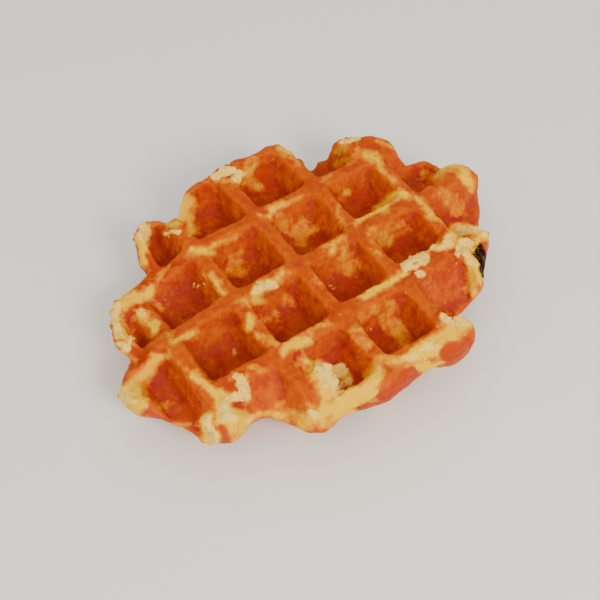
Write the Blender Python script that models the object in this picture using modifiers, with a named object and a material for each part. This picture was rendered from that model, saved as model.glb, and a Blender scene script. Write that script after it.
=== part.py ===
"""A Liege waffle: one thick, ragged-edged slab of baked dough with deep square pockets on both faces.

The middle crossing of the ribs is the centre that pockets, edge and bulges are placed from, in millimetres.
X runs along the long ribs and Z is up. The waffle rests on its lower ribs at z = 0.
"""

import math
import random

import bmesh
import bpy
from mathutils import Vector, noise

MM = 0.001

# Driving sizes, in millimetres
PITCH = 24.2
THICKNESS = 25.6
RIB_TOP = 4.6
WALL_INSET = 3.0
WEB = 2.8
CENTRE = (-4.4, 0.8)
POCKET_DEPTH = (THICKNESS - WEB) / 2

# The dough's edge from above, side by side, in millimetres from the middle crossing
LEFT_SIDE = [
    (-68, -12.5), (-69.3, -7), (-67, -2), (-63, 1), (-60.3, 3.5), (-60.5, 6.5), (-61.5, 9.5), (-60.6, 14),
    (-58.6, 19), (-55.5, 24), (-50.5, 27),
]
FAR_SIDE = [
    (-43, 27.5), (-39.5, 28.5), (-40, 34), (-37.5, 41), (-34, 46.5), (-28, 48.5), (-22, 42.5),
    (-16.5, 47.5), (-10, 49), (-3, 50.3), (4, 51), (10, 51), (15, 50), (21.5, 51.5), (29.5, 50.5),
    (34.5, 46), (33, 40), (38.5, 42.5), (43, 40), (47.5, 38), (55, 34.5), (59, 31),
]
RIGHT_SIDE = [
    (60.5, 26), (59, 20), (65.5, 19), (72.5, 16.5), (76.3, 11), (76.3, 3), (76, -4), (73.5, -10),
    (67.5, -15.5), (63, -20.5),
]
NEAR_SIDE = [
    (61.5, -25.5), (55.5, -30.5), (49.5, -35.5), (43, -38), (36.5, -39.5), (35, -44.5), (32.5, -50.5),
    (24.5, -53.5), (16, -50.5), (8, -50.5), (0, -52.5), (-8, -50.5), (-15, -48.5), (-22, -50), (-28, -47),
    (-32, -40.5), (-37, -35), (-44, -36), (-51, -37), (-55.5, -31.5), (-59, -25), (-63.2, -18),
]

# The dough's levels, each from a height to a height with its edge drawn in by an inset, in millimetres
EDGE_LAYERS = [
    (-0.8, 6.0, 9.0), (3.0, 9.5, 6.5), (6.5, 13.0, 3.6), (10.0, 17.0, 1.4), (13.5, 22.5, 0.0),
    (19.0, THICKNESS, 1.2),
]

# Where the dough stopped short of the iron: centre, reach and how far the top surface sinks, in millimetres
SUNKEN_PLACES = [
    (-69, -3, 14, 8.0), (-60, 2, 9, 8.0), (-50, 22, 28, 9.0), (-27, 47, 12, 6.0), (29, 49, 9, 2.5),
    (66, 20, 7, 3.0), (-55, -31, 9, 2.5), (-24, -48, 9, 2.5), (35, -48, 8, 2.0), (60, -28, 8, 1.5),
]

# Bulges of dough on the edge: centre, height above the mid plane and radii, in millimetres
BULGES = [
    ((69.5, 3), 5.5, (8.5, 7.0, 6.5)),
    ((30.5, -46.5), 4.0, (5.0, 5.0, 6.5)),
    ((-20.5, -39), 6.0, (7.0, 7.5, 6.2)),
    ((-40, -27), 6.5, (5.0, 4.0, 5.5)),
    ((-20, -29.5), 5.2, (5.5, 5.5, 5.6)),
]

# Crumb that broke through the crust: centre, height above the mid plane, spread, lump radius and lumps
CRUMB_PATCHES = [
    ((7, 46.5), 10.6, 4.5, 1.7, 16), ((-14, -0.5), 12.0, 3.0, 1.3, 8), ((30.5, -23), 12.2, 3.5, 1.5, 10),
    ((43, -24.5), 12.2, 4.5, 1.4, 12), ((53.5, -26.5), 11.4, 3.5, 1.5, 8), ((-40, -25.5), 11.2, 3.5, 1.9, 12),
    ((-18, -38.5), 11.2, 4.0, 1.7, 14), ((-58.4, 15), 3.4, 1.6, 1.3, 6), ((-52, 24), 4.2, 2.2, 1.4, 6),
    ((-24, 37), 12.0, 2.5, 1.2, 5), ((50, 31.7), 12.0, 3.0, 1.3, 6), ((-66, -6.5), 6.8, 2.5, 1.5, 7),
]

# The iron's teeth, counted from the middle crossing
COLUMNS = range(-3, 3)
ROWS = range(-2, 2)
NO_POCKET = {(-3, 1), (2, 1), (-3, -2), (2, -2)}

# Pockets that the edge opens or the dough half fills: the sides of mouth and floor that leave the grid
ODD_POCKETS = {
    (-3, 0): {"mouth": {"left": -56.5}, "floor": {"left": -55.5}},
    (-3, -1): {"mouth": {"left": -64, "near": -29}, "floor": {"left": -60, "near": -40}},
    (-2, 1): {"mouth": {"left": -35.5}, "floor": {"left": -34.5}},
    (-2, -2): {"mouth": {"near": -60}, "floor": {"near": -60, "far": -37, "left": -37}},
    (0, -2): {"mouth": {"near": -44}, "floor": {"near": -41.5}},
    (0, -1): {"mouth": {"near": -20.6}, "floor": {"near": -18.4}},
    (1, -2): {"mouth": {"near": -60}, "floor": {"near": -60, "far": -35}},
    (1, -1): {"mouth": {"near": -18.9}, "floor": {"near": -16.6}},
    (1, 0): {"mouth": {"near": 4.3}, "floor": {"near": 6.5}},
    (1, 1): {"mouth": {"far": 62, "right": 43.5}, "floor": {"far": 62, "right": 41}},
    (2, 0): {"mouth": {"right": 80}, "floor": {"right": 80, "far": 15}},
    (2, -1): {"mouth": {"right": 80}, "floor": {"right": 80}},
}

# Unevenness, each as the width of a wave and its height, in millimetres
EDGE_WAVES = [(17.0, 1.0), (7.0, 0.7)]
CRUST_WAVES = [(12.0, 0.45), (5.0, 0.3)]

# Making sizes, in millimetres
EDGE_VOXEL = 1.1
EDGE_ROUNDING_STEPS = 8
SURFACE_VOXEL = 0.8
SOFTENING_STEPS = 3
TOOTH_BEVEL = 0.7
TOOTH_OVERSHOOT = 2.0
MERGING = 0.01

# Chance: the shares of its patch's lump radius that a lump takes, how far it sits off its patch's height in
# millimetres, and the seeds
LUMP_SHARES = (0.6, 1.2)
LUMP_LIFTS = (-0.6, 0.4)
LUMP_SEED = 7
NOISE_SEED = 11

# How steeply a sunken place falls off towards its rim
SINK_POWER = 1.5

# How much of the slab's skin is kept for the cut, and the most triangles of the finished waffle
SLAB_KEPT = 0.3
MOST_TRIANGLES = 11600


def place(point, height=0.0):
    """Metres in the part's frame, from millimetres off the middle crossing and the mid plane."""
    return Vector((point[0] + CENTRE[0], point[1] + CENTRE[1], height + THICKNESS / 2)) * MM


def clear_scene():
    for obj in list(bpy.data.objects):
        bpy.data.objects.remove(obj, do_unlink=True)


def new_collection(name):
    collection = bpy.data.collections.new(name)
    bpy.context.scene.collection.children.link(collection)
    return collection


def applied(obj, name):
    """The object's evaluated shape as a plain mesh object in its place."""
    graph = bpy.context.evaluated_depsgraph_get()
    mesh = bpy.data.meshes.new_from_object(obj.evaluated_get(graph))
    plain = bpy.data.objects.new(name, mesh)
    plain.matrix_world = obj.matrix_world
    obj.users_collection[0].objects.link(plain)
    bpy.data.objects.remove(obj, do_unlink=True)
    return plain


def edge_layer(collection, bottom, top, inset):
    """One level of the dough between two heights, its edge drawn in by the inset."""
    curve = bpy.data.curves.new("edge", "CURVE")
    curve.dimensions = "2D"
    curve.fill_mode = "BOTH"
    curve.resolution_u = 4
    curve.extrude = (top - bottom) / 2 * MM
    curve.offset = -inset * MM
    outline = LEFT_SIDE + FAR_SIDE + RIGHT_SIDE + NEAR_SIDE
    spline = curve.splines.new("BEZIER")
    spline.bezier_points.add(len(outline) - 1)
    for bezier_point, point in zip(spline.bezier_points, outline):
        bezier_point.co = place(point)
        bezier_point.co.z = 0.0
        bezier_point.handle_left_type = "AUTO"
        bezier_point.handle_right_type = "AUTO"
    spline.use_cyclic_u = True
    layer = bpy.data.objects.new("layer", curve)
    layer.location.z = (top + bottom) / 2 * MM
    collection.objects.link(layer)
    return applied(layer, "layer")


def dough_slab(collection):
    """The slab inside the ragged edge, widest above its middle and drawn in below, as swelled dough is."""
    shape = bmesh.new()
    for bottom, top, inset in EDGE_LAYERS:
        layer = edge_layer(collection, bottom, top, inset)
        layer.data.transform(layer.matrix_world)
        shape.from_mesh(layer.data)
        bpy.data.objects.remove(layer, do_unlink=True)
    bmesh.ops.remove_doubles(shape, verts=shape.verts, dist=MERGING * MM)
    mesh = bpy.data.meshes.new("slab")
    shape.to_mesh(mesh)
    shape.free()
    slab = bpy.data.objects.new("slab", mesh)
    collection.objects.link(slab)
    add_skin(slab, EDGE_VOXEL, EDGE_ROUNDING_STEPS)
    thinning = slab.modifiers.new("thinning", "DECIMATE")
    thinning.ratio = SLAB_KEPT
    slab = applied(slab, "slab")
    for vertex in slab.data.vertices:
        shift = unevenness(vertex.co, EDGE_WAVES)
        vertex.co += Vector((shift.x, shift.y, 0.0))
    return slab


def unevenness(point, waves):
    """A shift that varies smoothly from place to place, in metres."""
    shift = Vector()
    for width, height in waves:
        shift += noise.noise_vector((point - place((0, 0))) / (width * MM)) * height * MM
    return shift


def add_skin(obj, voxel, steps):
    """One closed skin over everything in the object, softened by a number of steps."""
    skin = obj.modifiers.new("skin", "REMESH")
    skin.mode = "VOXEL"
    skin.voxel_size = voxel * MM
    softening = obj.modifiers.new("softening", "SMOOTH")
    softening.factor = 0.5
    softening.iterations = steps


def pocket_sides(column, row, side_inset):
    """The four sides of a pocket's square at some inset from the rib lines."""
    return {
        "left": column * PITCH + side_inset,
        "right": (column + 1) * PITCH - side_inset,
        "near": row * PITCH + side_inset,
        "far": (row + 1) * PITCH - side_inset,
    }


def press_tooth(shape, column, row, face):
    """Adds one of the iron's tapered teeth to the shape. Face is 1 on the upper side and -1 on the lower."""
    mouth = pocket_sides(column, row, RIB_TOP / 2)
    floor = pocket_sides(column, row, RIB_TOP / 2 + WALL_INSET)
    odd = ODD_POCKETS.get((column, row), {})
    mouth.update(odd.get("mouth", {}))
    floor.update(odd.get("floor", {}))
    corners = bmesh.ops.create_cube(shape, size=2.0)["verts"]
    for corner in corners:
        side_x = "right" if corner.co.x > 0 else "left"
        side_y = "far" if corner.co.y > 0 else "near"
        reach = 1 + TOOTH_OVERSHOOT / POCKET_DEPTH if corner.co.z > 0 else 0.0
        x = floor[side_x] + reach * (mouth[side_x] - floor[side_x])
        y = floor[side_y] + reach * (mouth[side_y] - floor[side_y])
        corner.co = place((x, y), face * (WEB / 2 + reach * POCKET_DEPTH))
    if face < 0:
        sides = list(dict.fromkeys(side for corner in corners for side in corner.link_faces))
        bmesh.ops.reverse_faces(shape, faces=sides)
    edges = list(dict.fromkeys(edge for corner in corners for edge in corner.link_edges))
    bmesh.ops.bevel(shape, geom=edges, offset=TOOTH_BEVEL * MM, segments=2, profile=0.5, affect="EDGES")


def iron_teeth(collection):
    mesh = bpy.data.meshes.new("iron_teeth")
    shape = bmesh.new()
    for column in COLUMNS:
        for row in ROWS:
            if (column, row) not in NO_POCKET:
                press_tooth(shape, column, row, 1)
                press_tooth(shape, column, row, -1)
    shape.to_mesh(mesh)
    shape.free()
    teeth = bpy.data.objects.new("iron_teeth", mesh)
    teeth.hide_render = True
    teeth.display_type = "WIRE"
    collection.objects.link(teeth)
    return teeth


def press_pockets(slab, teeth):
    pockets = slab.modifiers.new("pockets", "BOOLEAN")
    pockets.operation = "DIFFERENCE"
    pockets.solver = "MANIFOLD"
    pockets.object = teeth
    return applied(slab, "pressed_dough")


def add_ball(shape, centre, radii, detail):
    """Adds a closed ball or egg form to the shape, its radii in millimetres."""
    for vertex in bmesh.ops.create_icosphere(shape, subdivisions=detail, radius=MM)["verts"]:
        spread = Vector((vertex.co.x * radii[0], vertex.co.y * radii[1], vertex.co.z * radii[2]))
        vertex.co = centre + spread


def add_bulges_and_crumb(mesh):
    """Adds the edge's bulges and the lumps of crumb to the mesh, as closed forms that cross it."""
    draw = random.Random(LUMP_SEED)
    shape = bmesh.new()
    shape.from_mesh(mesh)
    for centre, height, radii in BULGES:
        add_ball(shape, place(centre, height), radii, 3)
    for centre, height, spread, radius, lumps in CRUMB_PATCHES:
        for _ in range(lumps):
            turn = draw.uniform(0, math.tau)
            reach = spread * math.sqrt(draw.random())
            spot = (centre[0] + reach * math.cos(turn), centre[1] + reach * math.sin(turn))
            size = radius * draw.uniform(*LUMP_SHARES)
            add_ball(shape, place(spot, height + draw.uniform(*LUMP_LIFTS)), (size, size, size), 2)
    shape.to_mesh(mesh)
    shape.free()


def sink(mesh):
    """Lowers the upper half where the dough stopped short of the iron."""
    for vertex in mesh.vertices:
        above = vertex.co.z / MM - THICKNESS / 2
        if above <= 0:
            continue
        lowered = 0.0
        for x, y, reach, depth in SUNKEN_PLACES:
            centre = place((x, y))
            distance = math.hypot(vertex.co.x - centre.x, vertex.co.y - centre.y) / MM
            if distance < reach:
                lowered = max(lowered, depth * (1 - (distance / reach) ** 2) ** SINK_POWER)
        vertex.co.z -= lowered * above / (THICKNESS / 2) * MM


def roughen(mesh):
    """Gives the crust its low bumps and hollows."""
    normals = [vertex.normal.copy() for vertex in mesh.vertices]
    for vertex, normal in zip(mesh.vertices, normals):
        vertex.co += normal * unevenness(vertex.co, CRUST_WAVES).x


def press_flat(mesh):
    """Flattens what hangs below z = 0, so that the lower ribs rest on true flats."""
    for vertex in mesh.vertices:
        vertex.co.z = max(vertex.co.z, 0.0)


def thinned(waffle):
    """The waffle within its count of triangles."""
    waffle.data.calc_loop_triangles()
    thinning = waffle.modifiers.new("thinning", "DECIMATE")
    thinning.ratio = MOST_TRIANGLES / len(waffle.data.loop_triangles)
    thinning.use_collapse_triangulate = True
    waffle = applied(waffle, "waffle")
    press_flat(waffle.data)
    return waffle


def crust_material():
    material = bpy.data.materials.new("baked_crust")
    material.use_nodes = True
    surface = material.node_tree.nodes["Principled BSDF"]
    surface.inputs["Base Color"].default_value = (0.55, 0.16, 0.03, 1.0)
    surface.inputs["Roughness"].default_value = 0.45
    surface.inputs["Metallic"].default_value = 0.0
    return material


def main():
    noise.seed_set(NOISE_SEED)
    clear_scene()
    waffle_parts = new_collection("liege_waffle")
    cutters = new_collection("cutters")
    cutters.hide_render = True
    waffle = press_pockets(dough_slab(waffle_parts), iron_teeth(cutters))
    add_bulges_and_crumb(waffle.data)
    add_skin(waffle, SURFACE_VOXEL, SOFTENING_STEPS)
    waffle = applied(waffle, "dough")
    sink(waffle.data)
    roughen(waffle.data)
    press_flat(waffle.data)
    waffle = thinned(waffle)
    waffle.data.materials.clear()
    waffle.data.materials.append(crust_material())
    waffle.data.shade_smooth()


main()
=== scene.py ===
"""The baked look of a Liege waffle: caramelised crust, pale dough, crumb and pearl sugar.

Places on the waffle are millimetres from the middle crossing of its ribs, as they lie on the plane
of the rib tops when looked at from the viewpoint. X runs along the long ribs.
"""
import math
import random

import bmesh
import bpy
import numpy as np
from mathutils import Matrix, Vector


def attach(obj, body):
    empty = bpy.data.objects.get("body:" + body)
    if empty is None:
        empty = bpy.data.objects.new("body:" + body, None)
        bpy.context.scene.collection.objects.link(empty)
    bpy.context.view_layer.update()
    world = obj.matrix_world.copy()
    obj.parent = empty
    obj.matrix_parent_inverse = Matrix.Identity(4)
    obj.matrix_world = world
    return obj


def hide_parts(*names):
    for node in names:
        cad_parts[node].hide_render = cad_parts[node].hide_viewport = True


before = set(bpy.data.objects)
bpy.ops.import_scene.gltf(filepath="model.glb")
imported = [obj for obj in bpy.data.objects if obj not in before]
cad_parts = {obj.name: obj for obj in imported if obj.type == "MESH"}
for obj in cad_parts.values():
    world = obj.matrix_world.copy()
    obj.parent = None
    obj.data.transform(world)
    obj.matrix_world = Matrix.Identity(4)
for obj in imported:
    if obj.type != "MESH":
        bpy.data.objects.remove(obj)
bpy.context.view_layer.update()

MM = 0.001

# The waffle's own sizes, in millimetres, as its solid has them
CENTRE = (-4.4, 0.8)
THICKNESS = 25.6
PITCH = 24.2
RIB_TOP = 4.6
POCKET_DEPTH = 11.4

# The grid of pockets, and the places in it that have none
COLUMNS = range(-3, 3)
ROWS = range(-2, 2)
NO_POCKET = {(-3, 1), (2, 1), (-3, -2), (2, -2)}

# Pocket mouths that leave the grid: left, right, near and far sides
ODD_MOUTHS = {
    (-3, 0): {"left": -56.5},
    (-3, -1): {"left": -64, "near": -29},
    (-2, 1): {"left": -35.5},
    (-2, -2): {"near": -60},
    (0, -2): {"near": -44},
    (0, -1): {"near": -20.6},
    (1, -1): {"near": -18.9},
    (1, 0): {"near": 4.3},
    (1, -2): {"near": -60},
    (1, 1): {"far": 62, "right": 43.5},
    (2, 0): {"right": 80},
    (2, -1): {"right": 80},
}

# The viewpoint: degrees, metres, and where it looks, in millimetres from the middle crossing
VIEW_AZIMUTH = -36.613
VIEW_ELEVATION = 54.981
VIEW_ROLL = -2.162
VIEW_DISTANCE = 0.2812
VIEW_TARGET = (-7.77, -12.28)

# The camera's lens and sensor, in millimetres
LENS = 54.0
SENSOR = 36.0

# The studio: lights with their place and size in metres, power in watts and colour
LIGHTS = [
    ("key", (0.03, -0.64, 0.54), 0.3, 5.8, (1.0, 0.95, 0.84)),
    ("fill", (-0.6, -0.15, 0.7), 0.9, 3.8, (1.0, 0.97, 0.9)),
    ("overhead", (0.25, 0.3, 0.95), 1.0, 2.0, (1.0, 0.98, 0.92)),
]
SKY_COLOUR = (1.0, 0.99, 0.97, 1.0)
SKY_STRENGTH = 0.78
FLOOR_HALF_SIDE = 1.5
FLOOR_COLOUR = (0.82, 0.8, 0.77, 1.0)
FLOOR_ROUGHNESS = 0.75

# How the dough's skin is made: lengths in millimetres
MERGE_REACH = 0.001
DOUGH_VOXEL = 0.42
SMOOTH_FACTOR = 0.5
SMOOTH_STEPS = 1
MOST_TRIANGLES = 192000

# The inputs of the Geometry Nodes trees: lengths in metres
CRUMB_LUMPS = {
    "Lumps per square metre": 6e5,
    "Gap width": 2.4 * MM,
    "Smallest": 0.4 * MM,
    "Largest": 1.2 * MM,
    "Seed": 3,
}
CRUST_RELIEF = {
    "Bump width": 4.6 * MM,
    "Bump height": 1.3 * MM,
    "Grain width": 1.7 * MM,
    "Grain height": 0.62 * MM,
    "Crumb width": 1.4 * MM,
    "Crumb height": 0.8 * MM,
}
CRUMB_GRAINS = {
    "Grains per square metre": 2.6e5,
    "Smallest": 0.18 * MM,
    "Largest": 0.5 * MM,
    "Seed": 5,
}
SUGAR_CRYSTALS = {"Unevenness": 1.1, "Seed": 8}

# Where the crumb lumps leave gaps, and how far into a cream patch its grains begin
LUMP_GAPS = (0.36, 0.5)
GRAINS_BEGIN = (0.35, 0.9)

# The dents of a grain and of a crystal: their noise's scale and detail on a ball of radius 1
GRAIN_DENTS = (1.3, 2.0)
CRYSTAL_DENTS = (1.1, 1.0)

# How deep a grain's dents are, the value in the middle of a noise, and a whole turn in radians
GRAIN_UNEVENNESS = 1.5
NOISE_MIDDLE = 0.5
WHOLE_TURN = 6.28

# The sugar crystals: how many to a bit, how far they stray and their radii, as shares of its size
SUGAR_SEED = 4
CRYSTALS_TO_A_BIT = 3
CRYSTAL_STRAY = 0.3
CRYSTAL_RADII = (0.24, 0.38)

# The upper face's patches reach down to this height, and a patch fades out over this depth
LOWER_FACE = 9.0
PATCH_FADE = 2.0

# The waves that make the patches uneven: how many, their widths and reach, and their phases
WANDER_WAVES = 9
WANDER_WIDTH = 1.1
WANDER_WIDENING = 0.75
WANDER_REACH = 0.07
WANDER_PHASES = ((2.1, 0.0), (1.3, 1.0))
GOLDEN_TURN = 2.39996

# The outer sides begin this far outside the pockets, and this deep over this fade
SIDE_AWAY = 1.2
SIDE_DEPTH = 1.2
SIDE_FADE = 2.4
FAR_AWAY = 99.0

# How wide and how strongly the surface is read for its edges and corners, and what flat places have
RIDGE_ROUNDS = 6
RIDGE_GAIN = 1.6
FLAT = 0.5

# Bare dough: from, to, half width, how deep below the rib tops it reaches, and how pale it is
BARE_DOUGH = [
    ((-36.5, 36.9), (-41.3, 28.2), 1.33, 18, 0.75), ((-32.2, 39.1), (-27.3, 37.9), 0.76, 12, 0.5),
    ((-16.6, 42.3), (-20.7, 38.7), 2.67, 13, 1), ((-24.4, 36.9), (-26.9, 36.6), 1.52, 14, 0.85),
    ((-23.6, 36.4), (-15.5, 38.3), 1.9, 13, 0.55), ((7.4, 42.2), (11.5, 42.3), 1.9, 7, 0.95),
    ((-3.2, 44.8), (2.9, 39.1), 1.33, 7, 0.6), ((7.8, 39.1), (3, 37.9), 1.52, 9, 0.5),
    ((-5.4, 45.7), (-5.9, 41.7), 0.95, 7, 0.5), ((12.5, 46.2), (9.2, 45), 1.15, 8, 0.6),
    ((25.1, 45.4), (26.3, 41.6), 1.52, 12, 0.9), ((23.4, 41.8), (25.1, 36.1), 1.15, 12, 0.6),
    ((2.3, 22.7), (10.6, 23.6), 1.52, 5, 1), ((10.6, 23.6), (16.9, 23.1), 1.33, 5, 0.65),
    ((-25.9, 22.8), (-21.9, 19.6), 1.72, 6, 0.95), ((-21.2, 20.6), (-10.5, 20.5), 1.33, 5, 0.65),
    ((-14.7, 21.3), (-11.8, 20.3), 0.95, 5, 0.8), ((-17.7, 15.3), (-13.1, 15.2), 0.76, 13, 0.7),
    ((-27.8, 12.9), (-26.9, 11.3), 1.15, 5, 0.65), ((-25.6, 11), (-25.9, 4.6), 1.52, 5, 0.95),
    ((-12.9, -0.9), (-5.2, -0.8), 1.33, 5, 0.8), ((-16.8, 11.8), (-17.8, 6.7), 2.8, 14, 0.42),
    ((5.4, 17), (6.7, 12), 2.81, 14, 0.45), ((17.2, 41.3), (18, 35.7), 1.15, 5, 0.35),
    ((39.3, 33), (44.3, 34.4), 1.33, 9, 0.6), ((42, 28.3), (46.4, 28.3), 1.52, 6, 0.5),
    ((47.8, 25.6), (48.7, 23.3), 1.33, 6, 0.9), ((48.7, 22.1), (48.1, 12.2), 1.33, 5, 0.75),
    ((48.1, 12.2), (47.8, 6.9), 1.15, 5, 0.6), ((56.2, 28.9), (57.3, 24), 1.33, 12, 0.7),
    ((43, 3.5), (46.4, 4), 2.1, 6, 1), ((49, 0.1), (49.2, -9.2), 1.9, 6, 0.8),
    ((49.2, -9.2), (49.5, -16.1), 1.52, 6, 0.7), ((65.4, 7), (71.3, 4.2), 2.1, 10, 0.95),
    ((71.3, 4.2), (69.5, -4.3), 2.29, 12, 0.95), ((69.5, -4.3), (66.7, -7.4), 1.15, 12, 0.85),
    ((58.4, -4.6), (57.7, -10.6), 3.75, 14, 0.42), ((59.1, 4.9), (63.8, 5.1), 2.29, 9, 0.5),
    ((11.3, 0.8), (17.4, -0.3), 1.33, 5, 0.75), ((12.7, -0.6), (12, -2.6), 1.33, 6, 0.9),
    ((16, -4.3), (14.8, -6.5), 1.52, 14, 0.65), ((31.3, 16.8), (31.8, 15.9), 1.33, 14, 0.75),
    ((27.7, 25.3), (32.2, 24), 1.15, 6, 0.5), ((39.4, -20), (47.3, -20.8), 1.72, 6, 0.95),
    ((50.3, -23.8), (47.5, -31.4), 1.72, 6, 0.95), ((46.4, -30.7), (43.3, -37.3), 1.72, 9, 1),
    ((43.3, -37.3), (39.6, -40.5), 1.52, 12, 0.85), ((58.1, -21.9), (57.2, -26.9), 1.52, 9, 0.95),
    ((54.8, -19.2), (58.7, -20.7), 1.72, 6, 0.95), ((10.2, -21.6), (23, -22.7), 1.52, 5, 1),
    ((23.1, -9.1), (24.5, -11.5), 1.33, 5, 0.5), ((27.7, -4.6), (38.1, -5.9), 2.81, 14, 0.42),
    ((28.3, -7.6), (30, -8.7), 1.9, 14, 0.55), ((10, -9.2), (14.5, -11.2), 2.81, 14, 0.45),
    ((1.9, -9.5), (3.4, -12.8), 1.52, 5, 0.42), ((24.5, 10.5), (21.2, 3.3), 1.15, 5, 0.5),
    ((-54.3, 20), (-50.9, 18.6), 1.52, 16, 0.85), ((-55, 15), (-59.7, 5), 1.15, 16, 0.7),
    ((-56.1, 18), (-61.1, 8.1), 1.52, 18, 0.9), ((-62.3, 4.6), (-61.7, 1.2), 1.52, 18, 0.85),
    ((-53.4, 16.6), (-44.6, 17.1), 2.1, 14, 0.95), ((-51.8, 9.3), (-50.1, 3.7), 1.52, 12, 0.75),
    ((-45.2, 11.1), (-44.9, 9.1), 1.52, 14, 0.5), ((-47.4, -3.8), (-41.7, -4.6), 1.72, 8, 0.85),
    ((-53.5, -4.8), (-59.9, -7.6), 2.1, 16, 0.9), ((-59.9, -7.6), (-66.3, -11.4), 2.67, 18, 0.9),
    ((-66.3, -11.4), (-69.8, -17.7), 2.29, 20, 0.85),
    ((-59.1, -9.8), (-65.7, -15.7), 1.52, 16, 0.55), ((-70, -18.7), (-66.4, -21.5), 1.33, 22, 0.6),
    ((-61.7, -19.6), (-61.1, -20.8), 1.52, 14, 0.55),
    ((-53.3, -13.7), (-53.7, -16.7), 0.38, 14, 0.5), ((-50.7, -10.5), (-49.5, -15.4), 1.15, 5, 0.5),
    ((-48.7, -16.4), (-47.9, -26.2), 1.9, 7, 0.95), ((-46.9, -27.3), (-47.8, -33.7), 2.8, 8, 1.05),
    ((-53.4, -31.9), (-55.8, -36.3), 2.29, 14, 1), ((-46.2, -34.4), (-44.8, -38.5), 2.48, 12, 1),
    ((-49.7, -36.7), (-47.4, -40.5), 2.8, 20, 0.8), ((-61.5, -27.9), (-56.6, -31.7), 1.15, 16, 0.6),
    ((-37.1, -27.1), (-39.9, -32.5), 0.76, 8, 0.65),
    ((-42.6, -38.8), (-39.6, -38.9), 1.15, 14, 0.85),
    ((-39.6, -38.9), (-31.9, -44.9), 1.15, 14, 0.85),
    ((-32.1, -45.2), (-31.8, -48.8), 1.33, 16, 0.8),
    ((-34.5, -39.6), (-31.9, -41.8), 1.9, 14, 0.42), ((-25.2, -8.7), (-27, -12.8), 1.9, 5, 0.9),
    ((-20.4, -6.5), (-20.4, -9.3), 1.33, 5, 0.85), ((-22.3, -2), (-20.7, -3.6), 1.72, 5, 0.6),
    ((-10.5, -9.1), (-11.5, -11.6), 1.72, 14, 0.55),
    ((-21.9, -12.2), (-16.5, -11.8), 1.15, 14, 0.42),
    ((-25.4, -17.4), (-23.9, -21.8), 1.33, 5, 0.65), ((-14.8, -24.5), (-22.2, -25.1), 1.9, 5, 0.9),
    ((-11.7, -24.4), (-6.5, -24), 1.52, 5, 0.62), ((-33.8, -24.8), (-32, -26.4), 1.9, 6, 0.6),
    ((-19.7, -31), (-17.3, -36.4), 1.52, 8, 0.95), ((-20.1, -35.7), (-19.3, -41.6), 1.9, 12, 0.8),
    ((-19, -41.8), (-20.8, -48.2), 2.81, 12, 1), ((-23.1, -49.4), (-19.5, -52.2), 2.8, 20, 0.85),
    ((-32.4, -47.7), (-26.3, -51.4), 1.72, 16, 0.8),
    ((-28.2, -43.2), (-27.4, -44.5), 1.52, 14, 0.5), ((-17.1, -49.1), (-11.5, -49.3), 2.67, 10, 1),
    ((-11.5, -49.3), (-3.3, -45.9), 2.1, 10, 0.95), ((-11.8, -52.7), (-8, -50.1), 1.33, 14, 0.6),
    ((-1.3, -44.7), (4, -45.8), 1.72, 6, 0.55), ((6.2, -46.9), (10.4, -49.3), 2.1, 9, 1),
    ((10.8, -47.9), (16.5, -51.3), 2.8, 9, 1.05), ((17.7, -49.9), (23.3, -48.5), 2.1, 9, 0.9),
    ((24, -47.2), (27.5, -48.3), 2.1, 12, 0.75), ((4, -49.1), (5.8, -51.6), 1.52, 14, 0.65),
    ((6.3, -52), (14, -54.3), 0.76, 14, 0.85), ((4.7, -28), (9.4, -28.9), 1.9, 14, 0.45),
    ((10.4, -32.7), (14.9, -28.9), 0.76, 14, 0.7), ((10.6, -35.5), (10.4, -40.7), 2.67, 14, 0.5),
    ((-0.6, -31.9), (3.5, -32.5), 1.52, 5, 0.5), ((-1.6, -35.2), (-1.7, -36.8), 1.52, 5, 0.6),
    ((37, -38.2), (40.4, -38.2), 1.15, 16, 0.55), ((26.9, -43.8), (29.8, -48), 2.29, 12, 0.95),
    ((22.1, -43.7), (24.6, -44.1), 1.52, 8, 0.6), ((2.1, -47.2), (13.6, -46.8), 1.6, 9, 0.95),
    ((13.6, -46.8), (30.5, -47.2), 1.7, 9, 1), ((30.8, -20.2), (49.5, -19.7), 1.7, 6, 0.95),
    ((8.3, -22.2), (25.1, -22.2), 1.7, 5, 0.95), ((26.4, 3), (35.7, 4.1), 1.5, 5, 0.8),
    ((35.7, 4.1), (47.3, 4.5), 1.9, 14, 1), ((50.6, -18.4), (55.3, -20.6), 2.2, 20, 1),
    ((55.8, -24), (51.9, -28.4), 1.6, 9, 0.95), ((35.3, 28.2), (41.7, 27.9), 1.6, 12, 0.6),
    ((57.1, 5.1), (64.5, 7), 2.2, 12, 0.7), ((5.9, 7.4), (13.8, 8.3), 2.6, 14, 0.48),
    ((6.5, 8), (10.3, 13.7), 2.4, 14, 0.48), ((-18.6, -5), (-15.1, -1.8), 1.8, 8, 0.8),
    ((-17, -36), (-14, -43), 2.6, 13, 0.7), ((-18.5, 37.7), (-21.2, 30.7), 1.8, 20, 0.85),
    ((10.4, 43), (6.4, 35.6), 2.4, 14, 0.5), ((11.9, -49.4), (18, -51.4), 2, 14, 0.95),
    ((-53.8, 14.6), (-49.9, 15.2), 1.5, 12, 0.8),
]

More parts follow.
